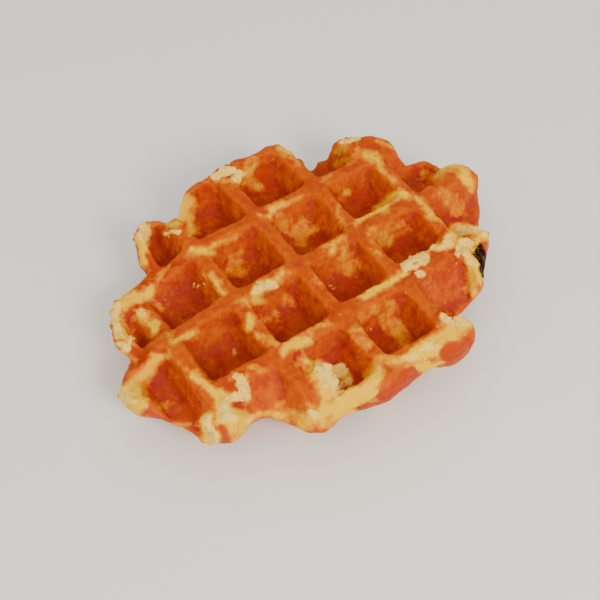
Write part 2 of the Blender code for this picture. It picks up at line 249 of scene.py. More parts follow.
# Cream crumb and torn dough, in the same way
CREAM_CRUMB = [
    ((-33.4, 41), (-35.8, 37.4), 1.53, 14, 1), ((-28.9, 33.8), (-26, 32.9), 0.87, 9, 1),
    ((3.2, 47.2), (-2, 46.8), 1.97, 8, 1), ((5, 44.9), (3.1, 40.6), 1.75, 8, 1),
    ((-2.9, 48.5), (-2.8, 47.3), 0.87, 8, 1), ((27.5, 40.3), (27.9, 38.3), 1.32, 12, 1),
    ((-16.2, -1.9), (-12.4, -1.7), 1.5, 6, 1), ((45.8, 35.2), (49, 34.8), 1.53, 10, 1),
    ((27.4, -20.3), (35.6, -21.5), 1.97, 7, 1), ((29.6, -24.3), (30.9, -24.7), 0.87, 6, 1),
    ((40.2, -20.1), (42.9, -19.9), 1.32, 6, 1), ((45.1, -19.8), (47.5, -19.4), 1.09, 6, 1),
    ((44.3, -26.3), (48.6, -24.2), 1.32, 7, 1), ((50.3, -22.8), (51.4, -24.6), 1.32, 6, 1),
    ((48.6, -27.2), (47, -31.1), 1.32, 7, 1), ((57, -19.6), (58.7, -21.2), 1.75, 7, 1),
    ((58.1, -22.4), (57.7, -25.3), 1.09, 9, 1), ((-56.2, 18.5), (-60.6, 9), 1.53, 18, 1),
    ((-62.5, 4.3), (-61.3, 1.4), 1.53, 18, 1), ((-57.7, 4.9), (-59.6, 2.7), 0.66, 16, 1),
    ((-51.8, 11.9), (-50.7, 10.7), 1.09, 10, 1), ((-69.2, -9.4), (-70.6, -14), 1.53, 20, 1),
    ((-69.1, -13.4), (-68.7, -14.5), 0.66, 18, 1), ((-53.9, -31.6), (-55.2, -36), 1.97, 14, 1),
    ((-46.7, -29.8), (-48.4, -35.3), 1.53, 6, 1), ((-45.1, -37.9), (-44.1, -38.6), 0.87, 12, 1),
    ((-39.6, -24.6), (-38.9, -26.7), 1.32, 9, 1), ((-39.5, -27.1), (-39.7, -30.2), 1.75, 9, 1),
    ((-45.4, -28.7), (-41.8, -29.6), 1.32, 8, 1), ((-29.1, -46.9), (-27.5, -48.7), 1.53, 16, 1),
    ((-15.6, -37.1), (-15.1, -40.4), 2.18, 10, 1), ((-12.9, -39.4), (-11.7, -41.8), 1.75, 10, 1),
    ((-16.8, -41.7), (-14.9, -45), 1.53, 11, 1), ((-17.9, -44.2), (-17.8, -46.6), 0.87, 11, 1),
    ((6, -47.1), (9.9, -48.9), 1.53, 8, 1), ((13.4, -47.5), (16.7, -49.3), 1.09, 6, 1),
    ((27.1, -44.4), (29.8, -48), 1.97, 10, 1), ((26.6, -42.3), (26.6, -43.6), 0.87, 8, 1),
    ((-15.5, -37), (-11.5, -38.5), 1.5, 13, 1), ((-17.8, -40), (-12, -40), 1.8, 13, 1),
    ((-17.5, -44.5), (-13.5, -44.5), 1.5, 13, 1), ((52, -19), (55.5, -20.8), 1.2, 20, 1),
]

# Darker red crust, in the same way
RED_CRUST = [
    ((14.1, 42.3), (9.4, 31.4), 1.25, 14, 1), ((-7.3, 45.3), (-10, 36.3), 1.25, 14, 1),
    ((61.7, -13.2), (60.4, -17.7), 1.25, 14, 1), ((-67.2, -19.4), (-64.3, -23.7), 0.94, 24, 1),
    ((-62, -25.3), (-54.9, -27.8), 1.56, 14, 1), ((-51.1, -36.9), (-52.2, -39.6), 1, 26, 1),
    ((-7.1, -54.7), (3.5, -53), 2.5, 26, 1), ((17.9, -54.4), (26.2, -53.1), 2.5, 26, 1),
    ((3.5, -52.1), (3.4, -54.1), 1.25, 26, 1), ((-68.9, -7.2), (-64.9, -5.8), 0.94, 26, 1),
    ((33.3, 12.2), (36.2, 8.1), 1.88, 14, 1), ((-29.1, 20), (-30.7, 14.9), 0.78, 14, 1),
    ((-38.9, 28.6), (-39, 23.8), 1.6, 26, 1), ((-60.4, 1.2), (-59, -2.3), 1.5, 26, 1),
    ((-55.1, -1.6), (-53, -3.8), 1.3, 14, 1), ((-24.2, 25.6), (-21.2, 25.6), 1.4, 14, 1),
    ((-1.2, 35.8), (3.1, 23.8), 1.2, 14, 1),
]

# Scorched rim, in the same way
SCORCHED_RIM = [
    ((53, -29), (46.2, -36.9), 2, 13, 1), ((36.5, -39.3), (37.5, -41), 0.69, 14, 0.6),
    ((-41.1, 2.9), (-37.4, 1.3), 0.22, 16, 1),
]

# Pearl sugar bits and stray crumbs: place and size across, in millimetres
SUGAR_BITS = [
    ((-32.2, 11.1), 1.62), ((-31.5, 9.8), 1.5), ((-29.4, 9.7), 1.12), ((-35.1, -16.4), 2),
    ((-35.6, -17.7), 1.62), ((3.4, -13.3), 1.62), ((3.3, -14.6), 1.25), ((-14.2, -44.7), 2.12),
    ((-15.5, -45.4), 1.88), ((21.6, -44.3), 1.12), ((31.4, -21.1), 1.75), ((42.4, -28.5), 1.12),
    ((-0.5, -23.5), 0.75), ((21.5, -28.7), 0.62), ((14.9, -28), 0.62), ((-30, 2.7), 0.62),
    ((1.1, -31.7), 1.25), ((3.8, -33.6), 1.25), ((6.8, 1.8), 0.75), ((29.2, -38.6), 0.62),
    ((-42.6, 11.2), 0.62), ((-12.9, 48.5), 0.62), ((-5.3, -39.1), 0.62),
]

# The marks that are painted from patches, and how soft their edges are, in millimetres
PATCH_MARKS = [
    ("dough", BARE_DOUGH, 1.9),
    ("cream", CREAM_CRUMB, 1.1),
    ("crumbly", CREAM_CRUMB, 2.4),
    ("red", RED_CRUST, 1.4),
    ("scorch", SCORCHED_RIM, 0.7),
]


def linear(red, green, blue):
    """A display colour of 0 to 255 as the renderer's linear values, by the usual display curve."""
    channels = []
    for value in (red, green, blue):
        share = value / 255
        if share <= 0.04045:
            channels.append(share / 12.92)
        else:
            channels.append(((share + 0.055) / 1.055) ** 2.4)
    return (*channels, 1.0)


# The finishes' colours
# The dark red serves both for dark runs of bake and as painted shade in the pocket floors and
# concave corners
DARK_BAKE_AND_SHADE = linear(150, 42, 40)
RED_BAKE = linear(176, 52, 12)
# Painted shade: the darker red that the rib tops are mixed towards, where the light from above
# falls most
RIB_TOP_SHADE = linear(170, 60, 2)
# The deep red of the outer sides: partly their crust, partly painted shade
SIDE_CRUST_AND_SHADE = linear(164, 44, 0)
ORANGE_BAKE = linear(200, 88, 2)
AMBER_BAKE = linear(202, 92, 0)
GOLD_BAKE = linear(212, 120, 0)
YELLOW_DOUGH = linear(222, 150, 0)
PALE_DOUGH = linear(242, 184, 4)
CRUMB_GOLD = linear(242, 184, 40)
CRUMB_CREAM = linear(252, 220, 120)
SCORCHED = linear(22, 8, 6)
SUGAR_AMBER = linear(208, 104, 24)
SUGAR_PALE = linear(226, 158, 70)

# Colours that run from stop to stop, each with its place from 0 to 1
DOUGH_TONES = ((0.36, AMBER_BAKE), (0.55, GOLD_BAKE), (0.8, YELLOW_DOUGH), (1.0, PALE_DOUGH))
CRUMB_TONES = ((0.3, CRUMB_GOLD), (0.7, CRUMB_CREAM))
SUGAR_TONES = ((0.35, SUGAR_AMBER), (0.65, SUGAR_PALE))

# The widths of the finishes' patterns, in millimetres
BLOTCH_WIDTH = 8.0
BLOB_WIDTH = 1.5
RUN_WIDTH = 1.7
RUN_STRETCH = (1.0, 1.0, 0.28)
BARE_WIDTH = 6.5
MOTTLE_WIDTH = 3.4
CREAM_WIDTH = 1.4
FINE_GRAIN_WIDTH = 0.55
COARSE_GRAIN_WIDTH = 1.6
CRUMB_WIDTH = 0.9
SUGAR_WIDTH = 0.8

# The layers of the crust's colour, among them painted shade and a partly painted highlight: where
# its pattern or mark begins and is full, and the share at both
BLOTCHES = (0.36, 0.64)
AMBER_RUNS = (0.5, 0.68, 0.0, 0.55)
DARK_RUNS = (0.47, 0.32, 0.0, 0.45)
# Painted shade: the deep pocket floors are darkened by their depth
POCKET_FLOORS = (0.65, 1.0, 0.0, 0.5)
# Painted shade: the rib tops are darkened against the light from above
RIB_TOPS = (0.2, 0.05, 0.0, 0.65)
# Convex edges brightened: partly thinner crust there, partly a painted highlight
BRIGHT_EDGES = (0.58, 0.92, 0.0, 0.5)
# Painted shade: concave corners and creases are darkened
DARK_CORNERS = (0.44, 0.15, 0.0, 0.6)
# How far the outer sides go to their deep red, partly crust and partly painted shade
SIDE_SHARE = 0.75
RED_SHARE = 0.7

# The bare dough, in the same way, and what each mark adds to it
BARE_PLACES = (0.36, 0.5)
BARE_DEPTH = -0.12
BARE_SHARE = 0.6
DOUGH_SHARE = 1.2
CRUMBLY_SHARE = 0.35
MOTTLES = (0.25, 0.75, -0.16, 0.16)
DOUGH_RUNS = (0.3, 0.7, -0.22, 0.22)
RED_OVER_DOUGH = (0.1, 0.7, 1.0, 0.2)
DOUGH_SHOWS = (0.14, 0.4)

# Ragged edges: how wide in millimetres, and where the mark begins and is full
WOBBLE = (0.25, 0.75, -0.35, 0.35)
RED_EDGE = (3.0, 0.3, 0.8)
CREAM_EDGE = (1.2, 0.36, 0.7)
SCORCH_EDGE = (1.3, 0.25, 0.95)

# How rough and how grainy the crust is
CRUST_GLOSS = (0.35, 0.65, 0.32, 0.56)
DULL_DOUGH = (0.4, 0.9, 0.0, 0.6)
DULL = 0.85
COARSE_GRAIN_SHARE = 0.8
CRUST_SURFACE = {
    "Specular IOR Level": 0.07,
    "Specular Tint": (1.0, 0.6, 0.25, 1.0),
    "Subsurface Weight": 0.1,
    "Subsurface Radius": (1.0, 0.35, 0.1),
    "Subsurface Scale": 1.6 * MM,
}
CRUMB_SURFACE = {
    "Roughness": DULL,
    "Subsurface Weight": 0.15,
    "Subsurface Radius": (1.0, 0.7, 0.4),
    "Subsurface Scale": 1.0 * MM,
}
SUGAR_SURFACE = {
    "Roughness": 0.38,
    "Specular IOR Level": 0.4,
    "Subsurface Weight": 0.3,
    "Subsurface Radius": (1.0, 0.5, 0.2),
    "Subsurface Scale": 0.8 * MM,
}

# Small relief in the finishes: strength, and depth in millimetres
CRUST_BUMP = (1.0, 0.26)
CRUMB_BUMP = (0.7, 0.08)


def metres(x, y, height=0.0):
    """A place in the frame, from millimetres off the middle crossing and above the mid plane."""
    return Vector((x + CENTRE[0], y + CENTRE[1], height + THICKNESS / 2)) * MM


def viewpoint():
    """Where the eye is, and which way its camera turns."""
    azimuth = math.radians(VIEW_AZIMUTH)
    elevation = math.radians(VIEW_ELEVATION)
    back = Vector((
        math.sin(azimuth) * math.cos(elevation),
        -math.cos(azimuth) * math.cos(elevation),
        math.sin(elevation),
    ))
    roll = Matrix.Rotation(math.radians(-VIEW_ROLL), 3, "Z")
    turn = back.to_track_quat("Z", "Y").to_matrix() @ roll
    return metres(*VIEW_TARGET, THICKNESS / 2) + back * VIEW_DISTANCE, turn


def add_camera():
    data = bpy.data.cameras.new("camera")
    data.lens = LENS
    data.sensor_width = SENSOR
    camera = bpy.data.objects.new("camera", data)
    place, turn = viewpoint()
    camera.matrix_world = Matrix.Translation(place) @ turn.to_4x4()
    bpy.context.scene.collection.objects.link(camera)
    bpy.context.scene.camera = camera


def add_light(name, place, size, power, colour):
    """A soft square light at a place in metres, turned to the waffle."""
    data = bpy.data.lights.new(name, "AREA")
    data.size = size
    data.energy = power
    data.color = colour
    light = bpy.data.objects.new(name, data)
    light.location = place
    light.rotation_euler = (-Vector(place)).to_track_quat("-Z", "Y").to_euler()
    bpy.context.scene.collection.objects.link(light)


def add_floor():
    """The pale floor that the waffle lies on."""
    mesh = bpy.data.meshes.new("floor")
    shape = bmesh.new()
    bmesh.ops.create_grid(shape, x_segments=1, y_segments=1, size=FLOOR_HALF_SIDE)
    shape.to_mesh(mesh)
    shape.free()
    floor = bpy.data.objects.new("floor", mesh)
    material = bpy.data.materials.new("pale_floor")
    material.use_nodes = True
    surface = material.node_tree.nodes["Principled BSDF"]
    surface.inputs["Base Color"].default_value = FLOOR_COLOUR
    surface.inputs["Roughness"].default_value = FLOOR_ROUGHNESS
    mesh.materials.append(material)
    bpy.context.scene.collection.objects.link(floor)


def add_sky():
    """The even light of the room."""
    world = bpy.data.worlds.new("studio")
    world.use_nodes = True
    background = world.node_tree.nodes["Background"]
    background.inputs["Color"].default_value = SKY_COLOUR
    background.inputs["Strength"].default_value = SKY_STRENGTH
    bpy.context.scene.world = world


def plain_mesh(obj, name):
    """The object's evaluated shape as a plain mesh object, which takes its place."""
    graph = bpy.context.evaluated_depsgraph_get()
    mesh = bpy.data.meshes.new_from_object(obj.evaluated_get(graph))
    mesh.name = name
    plain = bpy.data.objects.new(name, mesh)
    bpy.context.scene.collection.objects.link(plain)
    bpy.data.objects.remove(obj, do_unlink=True)
    return plain


def positions(mesh):
    """The mesh's points, one row each, in metres."""
    places = np.empty(len(mesh.vertices) * 3, np.float32)
    mesh.vertices.foreach_get("co", places)
    return places.reshape(-1, 3).astype(np.float64)


def wander(spots):
    """A smooth shift of a millimetre or so from place to place, for the patches' uneven edges."""
    shift = np.zeros_like(spots)
    for step in range(WANDER_WAVES):
        turn = step * GOLDEN_TURN
        width = WANDER_WIDTH + WANDER_WIDENING * step
        direction = np.array([math.cos(turn), math.sin(turn)])
        wave = spots @ direction * math.tau / (2 * width)
        for axis, (phase_step, phase) in enumerate(WANDER_PHASES):
            shift[:, axis] += WANDER_REACH * width * np.sin(wave + phase_step * step + phase)
    return shift


def seen_places(places):
    """Each point's place on the plane of the rib tops as the viewpoint sees it, and its depth.

    Both are in millimetres. The lower face has the same patches as the upper one, as if the
    waffle were turned over.
    """
    eye = np.array(viewpoint()[0])
    top = THICKNESS * MM
    share = (eye[2] - top) / (eye[2] - places[:, 2])
    on_plane = eye[:2] + (places[:, :2] - eye[:2]) * share[:, None]
    spots = on_plane / MM - np.array(CENTRE)
    turned = (places[:, :2] / MM - np.array(CENTRE)) * np.array([1.0, -1.0])
    upper = places[:, 2] > LOWER_FACE * MM
    spots = np.where(upper[:, None], spots, turned)
    depth = np.where(upper, top - places[:, 2], places[:, 2]) / MM
    return spots + wander(spots), depth


def patch_cover(places, patches, softness):
    """How far each point lies inside the patches: their strength in their middles, 0 off them."""
    spots, depth = seen_places(places)
    cover = np.zeros(len(places))
    for start, end, half_width, deepest, strength in patches:
        start = np.array(start, float)
        along = np.array(end, float) - start
        share = np.clip((spots - start) @ along / (along @ along), 0, 1)
        away = np.linalg.norm(spots - start - share[:, None] * along, axis=1)
        inside = np.clip((half_width + softness - away) / (2 * softness), 0, 1)
        inside = inside * inside * (3 - 2 * inside)
        fade = np.clip((deepest - depth) / PATCH_FADE, 0, 1)
        cover = np.maximum(cover, inside * fade * strength)
    return cover


def depth_in_waffle(places):
    """How deep each point lies below the nearer face of the waffle, in metres."""
    return np.minimum(THICKNESS * MM - places[:, 2], places[:, 2])


def outer_sides(places):
    """How far each point is from the pockets and from both faces: 1 on the waffle's sides."""
    spots = places[:, :2] / MM - np.array(CENTRE)
    away = np.full(len(places), FAR_AWAY)
    for column in COLUMNS:
        for row in ROWS:
            if (column, row) in NO_POCKET:
                continue
            mouth = {
                "left": column * PITCH + RIB_TOP / 2,
                "right": (column + 1) * PITCH - RIB_TOP / 2,
                "near": row * PITCH + RIB_TOP / 2,
                "far": (row + 1) * PITCH - RIB_TOP / 2,
            }
            mouth.update(ODD_MOUTHS.get((column, row), {}))
            across = np.maximum(mouth["left"] - spots[:, 0], spots[:, 0] - mouth["right"])
            along = np.maximum(mouth["near"] - spots[:, 1], spots[:, 1] - mouth["far"])
            away = np.minimum(away, np.maximum(across, along))
    deep = np.clip((depth_in_waffle(places) / MM - SIDE_DEPTH) / SIDE_FADE, 0, 1)
    return np.clip(away / SIDE_AWAY, 0, 1) * deep


def ridges(mesh, places):
    """How convex the surface is: above FLAT on edges and bumps, below it in corners and pits."""
    count = len(places)
    ends = np.empty(len(mesh.edges) * 2, np.int32)
    mesh.edges.foreach_get("vertices", ends)
    first, second = ends[0::2], ends[1::2]
    degree = np.bincount(ends, minlength=count).clip(1)
    normals = np.empty(count * 3, np.float32)
    mesh.vertices.foreach_get("normal", normals)
    normals = normals.reshape(-1, 3)

    def mean_of_neighbours(values):
        forward = np.bincount(first, values[second], count)
        backward = np.bincount(second, values[first], count)
        return (forward + backward) / degree

    smooth = places.copy()
    for _ in range(RIDGE_ROUNDS):
        smooth = np.stack([mean_of_neighbours(smooth[:, axis]) for axis in range(3)], axis=1)
    rise = np.einsum("ij,ij->i", places - smooth, normals) / MM
    return np.clip(FLAT + rise * RIDGE_GAIN, 0, 1)


def store(mesh, name, values):
    """The values as the mesh's own attribute, one for each point."""
    layer = mesh.attributes.get(name) or mesh.attributes.new(name, "FLOAT", "POINT")
    layer.data.foreach_set("value", values.astype(np.float32))


def paint(mesh):
    """Marks where the dough is bare, cream, red or scorched, its sides, depth and ridges."""
    places = positions(mesh)
    for name, patches, softness in PATCH_MARKS:
        store(mesh, name, patch_cover(places, patches, softness))
    store(mesh, "side", outer_sides(places))
    store(mesh, "depth", depth_in_waffle(places) / (POCKET_DEPTH * MM))
    store(mesh, "ridge", ridges(mesh, places))


class Tree:
    """A node tree under construction."""

    def __init__(self, tree):
        self.tree = tree

    def add(self, kind, values=None, **settings):
        """A new node, its inputs set to plain values or linked to sockets."""
        node = self.tree.nodes.new(kind)
        for name, value in settings.items():
            setattr(node, name, value)
        for key, value in (values or {}).items():
            if isinstance(value, bpy.types.NodeSocket):
                self.join(value, node.inputs[key])
            else:
                node.inputs[key].default_value = value
        return node

    def join(self, source, target):
        self.tree.links.new(source, target)

    def maths(self, operation, first, second):
        return self.add("ShaderNodeMath", {0: first, 1: second}, operation=operation).outputs[0]

    def scale(self, vector, factor):
        values = {0: vector, "Scale": factor}
        return self.add("ShaderNodeVectorMath", values, operation="SCALE").outputs[0]

    def span(self, value, low, high, out_low=0.0, out_high=1.0):
        """The value brought from its own range to another, and kept inside that."""
        return self.add("ShaderNodeMapRange", {
            "Value": value, "From Min": low, "From Max": high,
            "To Min": out_low, "To Max": out_high}).outputs[0]

    def noise(self, place, scale, detail, roughness=0.5):
        return self.add("ShaderNodeTexNoise", {
            "Vector": place, "Scale": scale, "Detail": detail, "Roughness": roughness})


class PieceTree(Tree):
    """A Geometry Nodes tree: a geometry in, named sizes, and a geometry out.

    Random Value has a set of inputs for every kind of value, so they are picked by number.
    """

    def __init__(self, name, numbers, material, seeded=True):
        super().__init__(bpy.data.node_groups.new(name, "GeometryNodeTree"))
        interface = self.tree.interface
        interface.new_socket("Geometry", in_out="INPUT", socket_type="NodeSocketGeometry")
        interface.new_socket("Geometry", in_out="OUTPUT", socket_type="NodeSocketGeometry")
        for label in numbers:
            interface.new_socket(label, in_out="INPUT", socket_type="NodeSocketFloat")
        if seeded:
            interface.new_socket("Seed", in_out="INPUT", socket_type="NodeSocketInt")
        interface.new_socket(material, in_out="INPUT", socket_type="NodeSocketMaterial")
        self.start = self.add("NodeGroupInput")

    def given(self, label):
        """What the tree is given under that name."""
        return self.start.outputs[label]

    def place(self):
        return self.add("GeometryNodeInputPosition").outputs[0]

    def mark(self, name):
        """The mesh's own attribute of that name."""
        node = self.add("GeometryNodeInputNamedAttribute", {"Name": name}, data_type="FLOAT")
        return node.outputs["Attribute"]

    def ball(self, subdivisions):
        values = {"Radius": 1.0, "Subdivisions": subdivisions}
        return self.add("GeometryNodeMeshIcoSphere", values).outputs["Mesh"]

    def dented(self, ball, noise_scale, detail, unevenness):
        """The ball with its surface pushed in and out by a noise."""
        noise = self.noise(self.place(), noise_scale, detail).outputs["Color"]
        values = {0: noise, 1: (NOISE_MIDDLE, NOISE_MIDDLE, NOISE_MIDDLE)}
        middle = self.add("ShaderNodeVectorMath", values, operation="SUBTRACT").outputs[0]
        return self.moved(ball, self.scale(middle, unevenness))

    def moved(self, geometry, shift):
        values = {"Geometry": geometry, "Offset": shift}
        return self.add("GeometryNodeSetPosition", values).outputs["Geometry"]

    def strewn(self, density):
        """Points spread by chance over the geometry that the tree is given."""
        return self.add("GeometryNodeDistributePointsOnFaces", {
            "Mesh": self.given("Geometry"), "Density": density,
            "Seed": self.given("Seed")}).outputs["Points"]

    def chance_size(self):
        """A size for each point, between the smallest and the largest that are given."""
        return self.add("FunctionNodeRandomValue", {
            2: self.given("Smallest"), 3: self.given("Largest"),
            "Seed": self.given("Seed")}, data_type="FLOAT").outputs[1]

    def chance_turn(self):
        """A turn for each point, any way round."""
        return self.add("FunctionNodeRandomValue", {
            0: (0.0, 0.0, 0.0), 1: (WHOLE_TURN, WHOLE_TURN, WHOLE_TURN),
            "Seed": self.given("Seed")}, data_type="FLOAT_VECTOR").outputs[0]

    def set_on(self, points, instance, **values):
        """The instance on every point, as real geometry."""
        placed = self.add("GeometryNodeInstanceOnPoints", {
            "Points": points, "Instance": instance, **values})
        return self.real(placed.outputs["Instances"])

    def real(self, geometry):
        return self.add("GeometryNodeRealizeInstances", {"Geometry": geometry}).outputs["Geometry"]

    def finished(self, geometry, material):
        """The tree, ended with that geometry in the material that it is given."""
        painted = self.add("GeometryNodeSetMaterial", {
            "Geometry": geometry, "Material": self.given(material)})
        end = self.add("NodeGroupOutput")
        self.join(painted.outputs["Geometry"], end.inputs["Geometry"])
        return self.tree


def add_nodes_modifier(obj, tree, values):
    """The tree as a modifier, its inputs set by their identifiers."""
    modifier = obj.modifiers.new(tree.name, "NODES")
    modifier.node_group = tree
    for item in tree.interface.items_tree:
        if item.item_type == "SOCKET" and item.in_out == "INPUT" and item.name in values:
            modifier[item.identifier] = values[item.name]


def crumb_lumps_tree():
    """Scatters round lumps over the cream patches, with gaps, and joins them to the dough."""
    numbers = ("Lumps per square metre", "Gap width", "Smallest", "Largest")
    build = PieceTree("crumb_lumps", numbers, "Dough")
    per_gap = build.maths("DIVIDE", 1.0, build.given("Gap width"))
    gaps = build.noise(build.place(), per_gap, detail=1.0).outputs[0]
    share = build.maths("MULTIPLY", build.mark("cream"), build.span(gaps, *LUMP_GAPS))
    wanted = build.maths("MULTIPLY", share, build.given("Lumps per square metre"))
    lump = build.ball(subdivisions=2)
    lumps = build.set_on(build.strewn(wanted), lump, Scale=build.chance_size())
    both = build.add("GeometryNodeJoinGeometry")
    build.join(build.given("Geometry"), both.inputs["Geometry"])
    build.join(lumps, both.inputs["Geometry"])
    return build.finished(both.outputs["Geometry"], "Dough")


def crust_relief_tree():
    """Raises the crust's bumps, blisters and the rough face of the crumb."""
    build = PieceTree("crust_relief", CRUST_RELIEF, "Dough", seeded=False)
    place = build.place()

    def wave(kind, detail):
        """A noise of that kind's width, from minus to plus half its height."""
        per_width = build.maths("DIVIDE", 1.0, build.given(f"{kind} width"))
        noise = build.noise(build.scale(place, per_width), scale=1.0, detail=detail).outputs[0]
        middle = build.maths("SUBTRACT", noise, NOISE_MIDDLE)
        return build.maths("MULTIPLY", middle, build.given(f"{kind} height"))

    rough = build.maths("MULTIPLY", wave("Crumb", detail=2.0), build.mark("cream"))
    low = build.maths("ADD", wave("Bump", detail=1.0), wave("Grain", detail=2.0))
    total = build.maths("ADD", low, rough)
    normal = build.add("GeometryNodeInputNormal").outputs[0]
    raised = build.moved(build.given("Geometry"), build.scale(normal, total))
    return build.finished(build.real(raised), "Dough")


def crumb_grains_tree():
    """Scatters crumb grains over the cream patches, each turned and sized by chance."""
    numbers = ("Grains per square metre", "Smallest", "Largest")
    build = PieceTree("crumb_grains", numbers, "Crumb")
    share = build.span(build.mark("cream"), *GRAINS_BEGIN)
    wanted = build.maths("MULTIPLY", share, build.given("Grains per square metre"))
    grain = build.dented(build.ball(subdivisions=2), *GRAIN_DENTS, GRAIN_UNEVENNESS)
    grains = build.set_on(build.strewn(wanted), grain, Scale=build.chance_size(),
                          Rotation=build.chance_turn())
    return build.finished(grains, "Crumb")


def pearl_sugar_tree():
    """Sets an uneven crystal on every point, sized by the point's own mark, turned by chance."""
    build = PieceTree("pearl_sugar", ("Unevenness",), "Sugar")
    unevenness = build.given("Unevenness")
    crystal = build.dented(build.ball(subdivisions=3), *CRYSTAL_DENTS, unevenness)
    crystals = build.set_on(build.given("Geometry"), crystal, Scale=build.mark("size"),
                            Rotation=build.chance_turn())
    return build.finished(crystals, "Sugar")


def dough_copy(material):
    """The solid's shape as one merged mesh."""
    shape = bmesh.new()
    shape.from_mesh(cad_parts["waffle"].data)
    bmesh.ops.remove_doubles(shape, verts=shape.verts, dist=MERGE_REACH * MM)
    mesh = bpy.data.meshes.new("baked_waffle")
    shape.to_mesh(mesh)
    shape.free()
    mesh.materials.clear()
    mesh.materials.append(material)
    dough = bpy.data.objects.new("baked_waffle", mesh)
    bpy.context.scene.collection.objects.link(dough)
    return dough


def add_subdivision(obj, levels):
    finer = obj.modifiers.new("finer", "SUBSURF")
    finer.levels = levels
    finer.render_levels = levels


def add_skin(obj):
    """One closed skin over the dough and its lumps, then softened."""
    skin = obj.modifiers.new("skin", "REMESH")
    skin.mode = "VOXEL"
    skin.voxel_size = DOUGH_VOXEL * MM
    soft = obj.modifiers.new("soft", "SMOOTH")
    soft.factor = SMOOTH_FACTOR
    soft.iterations = SMOOTH_STEPS


def add_thinning(obj):
    """Fewer faces, where the mesh has more than the most triangles allowed."""
    obj.data.calc_loop_triangles()
    thinning = obj.modifiers.new("thinning", "DECIMATE")
    thinning.ratio = min(1.0, MOST_TRIANGLES / len(obj.data.loop_triangles))


def press_flat(mesh):
    """Keeps the mesh on and above the plane that the waffle rests on."""
    places = positions(mesh)
    places[:, 2] = np.maximum(places[:, 2], 0.0)
    mesh.vertices.foreach_set("co", places.astype(np.float32).ravel())
    mesh.update()


def baked_waffle(material):
    """The waffle with its crumb lumps, bumps and blisters, marked for the crust's colours."""
    dough = dough_copy(material)
    add_subdivision(dough, levels=1)
    dough = plain_mesh(dough, "dough_shape")
    paint(dough.data)
    add_nodes_modifier(dough, crumb_lumps_tree(), {**CRUMB_LUMPS, "Dough": material})
    add_skin(dough)
    dough = plain_mesh(dough, "dough_skin")
    paint(dough.data)
    add_nodes_modifier(dough, crust_relief_tree(), {**CRUST_RELIEF, "Dough": material})
    add_thinning(dough)
    dough = plain_mesh(dough, "baked_waffle")
    press_flat(dough.data)
    paint(dough.data)
    dough.data.shade_smooth()
    return dough


def crumb_grains(waffle, material):
    """Crumb grains on the torn places."""
    carrier = bpy.data.objects.new("crumb_carrier", waffle.data.copy())
    bpy.context.scene.collection.objects.link(carrier)
    add_nodes_modifier(carrier, crumb_grains_tree(), {**CRUMB_GRAINS, "Crumb": material})
    grains = plain_mesh(carrier, "crumb_grains")
    press_flat(grains.data)
    return grains


def sugar_spots(waffle):
    """Where the sugar crystals sit on the crust, and their radii, in metres."""
    draw = random.Random(SUGAR_SEED)
    eye = viewpoint()[0]
    spots, radii = [], []
    for (x, y), across in SUGAR_BITS:
        stray = across * CRYSTAL_STRAY
        for _ in range(CRYSTALS_TO_A_BIT):
            aim_x = x + draw.uniform(-stray, stray)
            aim_y = y + draw.uniform(-stray, stray)
            aim = metres(aim_x, aim_y, THICKNESS / 2)
            struck, spot, _, _ = waffle.ray_cast(eye, (aim - eye).normalized())
            if struck:
                spots.append(spot)
                radii.append(across * draw.uniform(*CRYSTAL_RADII) * MM)
    return spots, radii


def pearl_sugar(waffle, material):
    """Bits of pearl sugar and stray crumbs on the crust."""
    spots, radii = sugar_spots(waffle)
    mesh = bpy.data.meshes.new("sugar_spots")
    mesh.from_pydata(spots, [], [])
    store(mesh, "size", np.array(radii))
    carrier = bpy.data.objects.new("sugar_carrier", mesh)
    bpy.context.scene.collection.objects.link(carrier)
    add_nodes_modifier(carrier, pearl_sugar_tree(), {**SUGAR_CRYSTALS, "Sugar": material})
    sugar = plain_mesh(carrier, "pearl_sugar")
    sugar.data.shade_smooth()
    return sugar


class Finish(Tree):
    """A material under construction, with patterns on the object's own coordinates.

    Mix has a set of inputs for every kind of value, so they are picked by number.
    """

    def __init__(self, name):
        self.material = bpy.data.materials.new(name)
        self.material.use_nodes = True
        super().__init__(self.material.node_tree)
        self.tree.nodes.clear()
        self.surface = self.add("ShaderNodeBsdfPrincipled")
        end = self.add("ShaderNodeOutputMaterial")
        self.join(self.surface.outputs[0], end.inputs[0])
        self.place = self.add("ShaderNodeTexCoord").outputs["Object"]

    def pattern(self, width, detail=3.0, roughness=0.55):
        """A noise of that width in millimetres."""
        return self.noise(self.place, 1 / (width * MM), detail, roughness).outputs[0]

    def mark(self, name):
        """The mesh's own attribute of that name."""
        return self.add("ShaderNodeAttribute", attribute_name=name).outputs["Fac"]

    def mix(self, share, first, second):
        """The first colour, and the second over it by its share."""
        values = {0: share, 6: first, 7: second}
        return self.add("ShaderNodeMix", values, data_type="RGBA").outputs[2]

    def patch(self, name, ragged, low, high):
        """A mark with an uneven edge."""
        wobble = self.span(self.pattern(ragged), *WOBBLE)
        return self.span(self.maths("ADD", self.mark(name), wobble), low, high)

    def tones(self, value, stops):
        """The colour at that value, between the stops."""
        node = self.add("ShaderNodeValToRGB", {"Fac": value})
        elements = node.color_ramp.elements
        for element, (position, colour) in zip(elements, (stops[0], stops[-1])):
            element.position = position
            element.color = colour
        for position, colour in stops[1:-1]:
            elements.new(position).color = colour
        return node.outputs[0]

    def set_surface(self, values):
        """Sets the values that are the same all over the surface."""
        for name, value in values.items():
            self.surface.inputs[name].default_value = value

    def bump(self, height, strength, depth):
        node = self.add("ShaderNodeBump", {
            "Height": height, "Strength": strength, "Distance": depth * MM})
        self.join(node.outputs[0], self.surface.inputs["Normal"])


